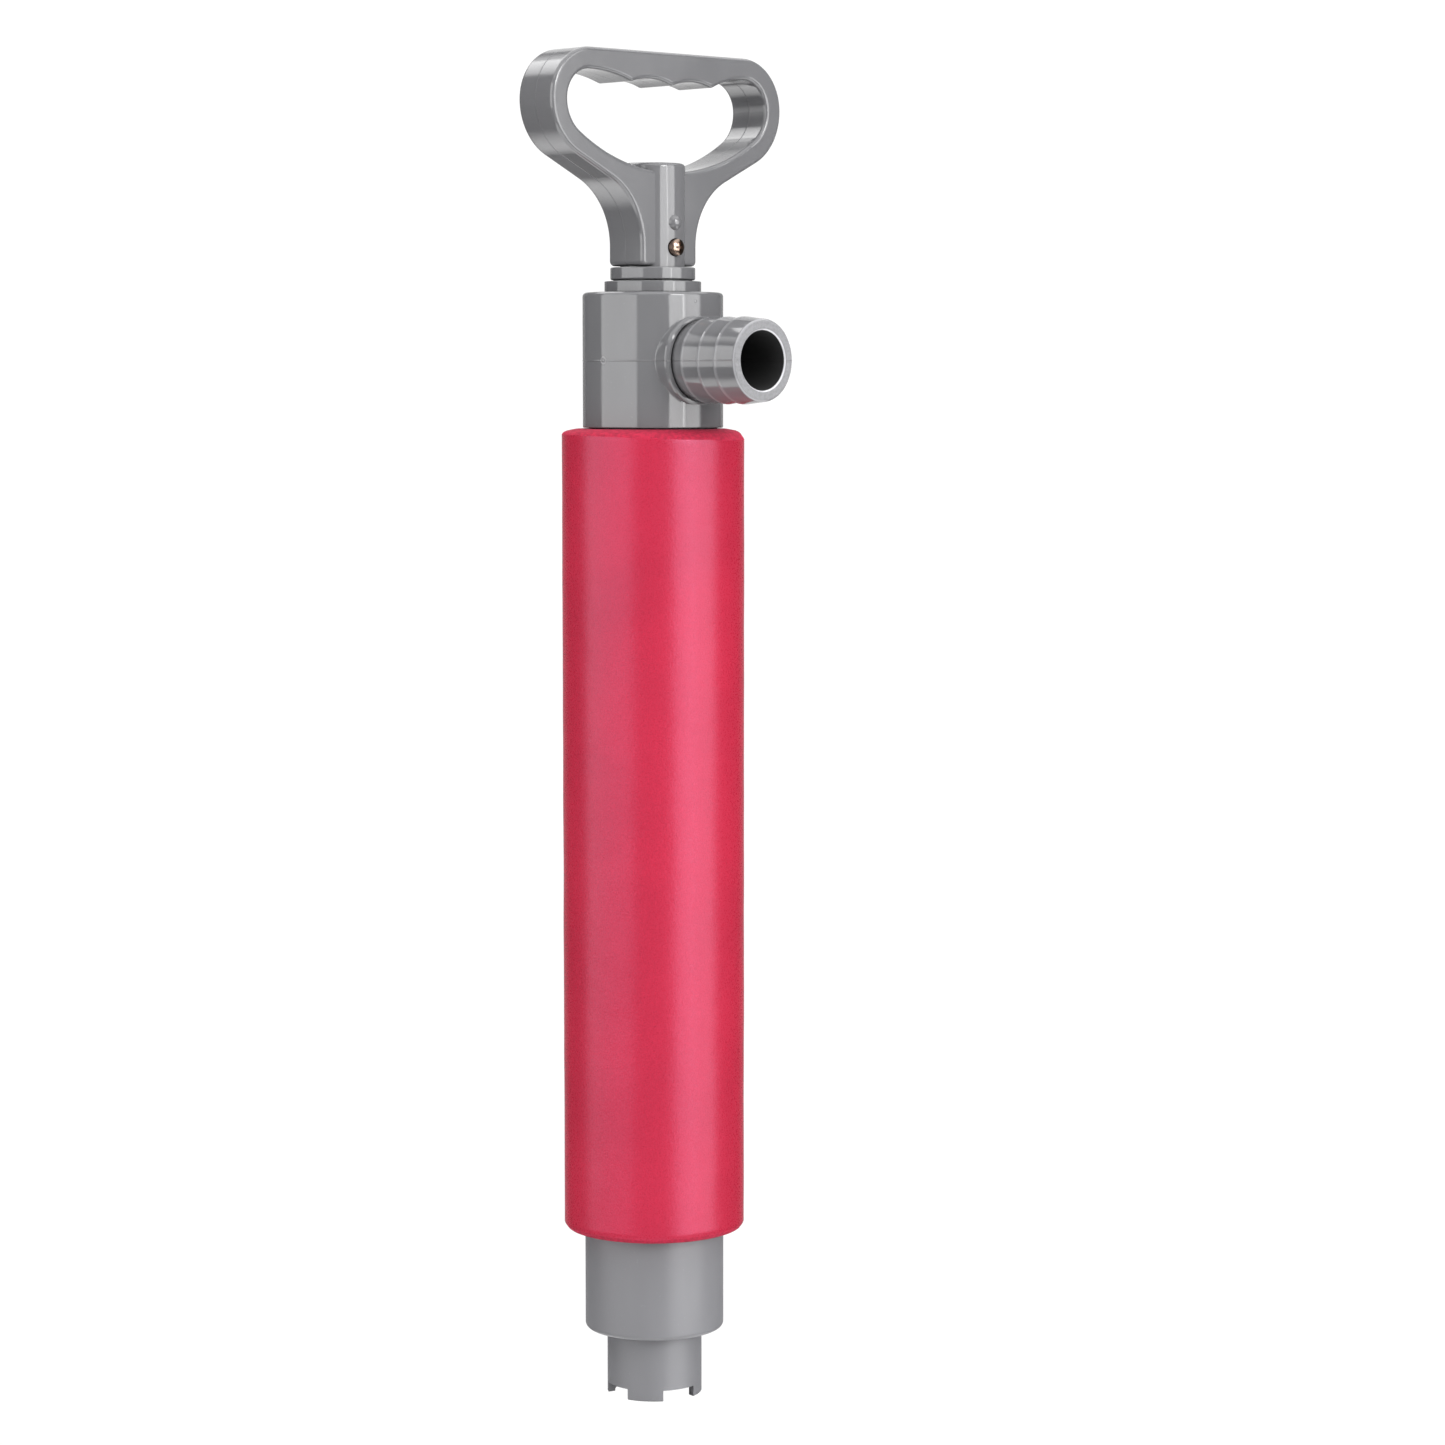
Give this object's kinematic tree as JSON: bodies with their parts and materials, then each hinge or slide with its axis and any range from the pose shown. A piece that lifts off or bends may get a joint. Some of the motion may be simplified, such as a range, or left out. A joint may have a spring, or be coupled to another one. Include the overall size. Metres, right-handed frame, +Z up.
{
  "type": "manual bilge pump",
  "caption": "Hand-operated bilge pump: foam-jacketed barrel, barbed side outlet on a gloss grey head, D-shaped pull handle with finger scallops, notched inlet nipple.",
  "frame": {"origin": "on the barrel's axis, in the plane of the inlet nipple's teeth, which the pump stands on", "axes": "+Z up the barrel towards the handle, -Y along the discharge spout, X along the handle's grip"},
  "size_m": [0.1204, 0.0978, 0.5285],
  "materials": {
    "grey_gloss": "glossy injection-moulded grey ABS",
    "grey_satin": "satin grey moulded PVC",
    "foam": "matte closed-cell EVA foam, crimson",
    "brass": "bright brass",
    "rod_plastic": "smooth pale grey PVC tube",
    "tube_plastic": "extruded grey PVC tube",
    "dark_plastic": "black moulded acetal",
    "black_rubber": "matte black nitrile rubber",
    "steel": "stainless steel"
  },
  "bodies": {
    "barrel": {"foot_cap": "grey_satin", "foot_valve_seat": "dark_plastic", "foot_valve_pin": "dark_plastic", "foot_gasket": "black_rubber", "barrel_tube": "tube_plastic", "head_gasket": "black_rubber", "discharge_head": "grey_gloss", "gland_washer": "black_rubber", "gland_nut": "grey_gloss", "rod_bushing": "grey_gloss", "rod_seal": "black_rubber", "foam_float": "foam"},
    "sliding_seal": {"piston_seal": "black_rubber"},
    "plunger": {"handle": "grey_gloss", "handle_screw": "brass", "pump_rod": "rod_plastic", "rod_top_plug": "dark_plastic", "rod_bottom_plug": "dark_plastic", "rod_stop_ring": "black_rubber", "piston_body": "dark_plastic", "piston_washer": "steel", "piston_bolt": "steel"},
    "piston_valve": {"piston_valve_disc": "black_rubber"},
    "foot_valve": {"foot_valve_disc": "black_rubber"}
  },
  "joints": [
    {"name": "plunger_slide", "type": "slide", "parent": "barrel", "child": "sliding_seal", "axis": [0, 0, 1], "range_m": [0, 0.3]},
    {"name": "plunger_turn", "type": "hinge", "parent": "sliding_seal", "child": "plunger", "pos_m": [0, 0, 0.1], "axis": [0, 0, 1], "continuous": true},
    {"name": "piston_valve_lift", "type": "slide", "parent": "plunger", "child": "piston_valve", "axis": [0, 0, 1], "range_m": [0, 0.0029]},
    {"name": "foot_valve_lift", "type": "slide", "parent": "barrel", "child": "foot_valve", "axis": [0, 0, 1], "range_m": [0, 0.0039]}
  ]
}
